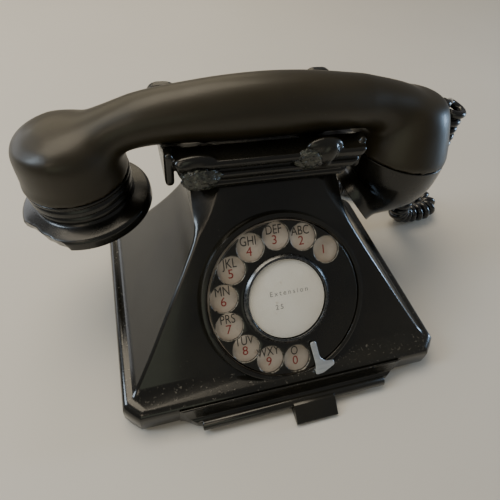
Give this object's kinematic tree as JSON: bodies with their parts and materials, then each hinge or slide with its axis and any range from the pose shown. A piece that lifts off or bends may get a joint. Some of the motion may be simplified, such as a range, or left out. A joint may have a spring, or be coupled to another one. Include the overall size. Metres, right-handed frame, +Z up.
{
  "type": "rotary telephone",
  "caption": "Black pyramid-shaped desk telephone with a rotary dial, a drawer under it and a handset across its cradle on a curly cord.",
  "frame": {"origin": "on the table under the middle of the object's box, measured without the cord", "axes": "+Z up, the dial and drawer face -Y, the handset lies along X with the earpiece at -X and the mouthpiece at +X"},
  "size_m": [0.2798, 0.1824, 0.1306],
  "materials": {
    "bakelite": "worn gloss",
    "enamel": "satin enamel",
    "card": "matt",
    "window": "clear, lightly scratched",
    "chrome": "worn bright",
    "steel": "dull plated",
    "brass": "dull",
    "rubber": "matt",
    "cord": "gloss",
    "phenolic": "dull"
  },
  "bodies": {
    "telephone_base": {"body_case": "bakelite", "base_plate": "steel", "foot_front_left": "rubber", "foot_front_right": "rubber", "foot_rear_left": "rubber", "foot_rear_right": "rubber", "base_screw_front_left": "steel", "base_screw_front_right": "steel", "base_screw_rear_left": "steel", "base_screw_rear_right": "steel", "number_plate": "enamel", "finger_stop": "chrome", "dial_frame": "steel", "spring_barrel": "steel", "impulse_springs": "brass", "governor_cup": "brass", "cradle": "bakelite", "switch_bracket": "steel", "switch_pin": "steel", "switch_springs": "phenolic", "induction_coil": "brass", "capacitor": "steel", "terminal_strip": "phenolic", "handset_cord_gland": "rubber", "line_cord_gland": "rubber", "drawer_runner_left": "steel", "drawer_runner_right": "steel", "curly_cord": "cord", "cord_tail_base": "cord"},
    "dial": {"finger_plate": "bakelite", "label_ring": "chrome", "label_card": "card", "label_window": "window", "dial_spindle": "steel", "main_wheel": "brass"},
    "impulse_pinion": {"impulse_pinion": "brass"},
    "governor": {"governor_spindle": "steel"},
    "hook_lever": {"hook_lever": "steel"},
    "left_plunger": {"plunger_left": "bakelite"},
    "right_plunger": {"plunger_right": "bakelite"},
    "drawer": {"drawer_tray": "steel", "drawer_front": "bakelite", "drawer_tab": "bakelite", "drawer_card": "card"},
    "handset": {"handset_shell": "bakelite", "ear_cap": "bakelite", "mouthpiece": "bakelite", "receiver_capsule": "steel", "transmitter_capsule": "steel", "handset_cord_sleeve": "rubber", "cord_tail_handset": "cord"}
  },
  "joints": [
    {"name": "dial_turn", "type": "hinge", "parent": "telephone_base", "child": "dial", "pos_m": [0.0045, -0.0281, 0.0458], "axis": [0, -0.7206, 0.6934], "range_deg": [-328, 0], "stiffness_Nm_per_rad": 0.004, "springref_deg": 68.75},
    {"name": "pinion_spin", "type": "hinge", "parent": "telephone_base", "child": "impulse_pinion", "pos_m": [-0.00573, -0.00645, 0.04955], "axis": [0, -0.7206, 0.6934], "range_deg": [-3, 987]},
    {"name": "governor_spin", "type": "hinge", "parent": "telephone_base", "child": "governor", "pos_m": [0.00287, -0.00112, 0.04442], "axis": [0, 0.6934, 0.7206], "range_deg": [-9, 2961]},
    {"name": "drawer_slide", "type": "slide", "parent": "telephone_base", "child": "drawer", "axis": [0, -1, 0], "range_m": [0, 0.085]},
    {"name": "handset_lift", "type": "slide", "parent": "telephone_base", "child": "handset", "axis": [0, 0, 1], "range_m": [0, 0.06]},
    {"name": "left_plunger_rise", "type": "slide", "parent": "telephone_base", "child": "left_plunger", "axis": [0, 0, 1], "range_m": [0, 0.0031]},
    {"name": "right_plunger_rise", "type": "slide", "parent": "telephone_base", "child": "right_plunger", "axis": [0, 0, 1], "range_m": [0, 0.0031]},
    {"name": "hook_lever_swing", "type": "hinge", "parent": "telephone_base", "child": "hook_lever", "pos_m": [0.0045, 0.0253, 0.0726], "axis": [1, 0, 0], "range_deg": [0, 14.6]}
  ],
  "couplings": [
    {"joint": "pinion_spin", "follows": "dial_turn", "ratio": -3},
    {"joint": "governor_spin", "follows": "dial_turn", "ratio": -9},
    {"joint": "left_plunger_rise", "follows": "handset_lift", "ratio": 0.05},
    {"joint": "right_plunger_rise", "follows": "handset_lift", "ratio": 0.05},
    {"joint": "hook_lever_swing", "follows": "handset_lift", "rad_per_m": 4.2}
  ]
}
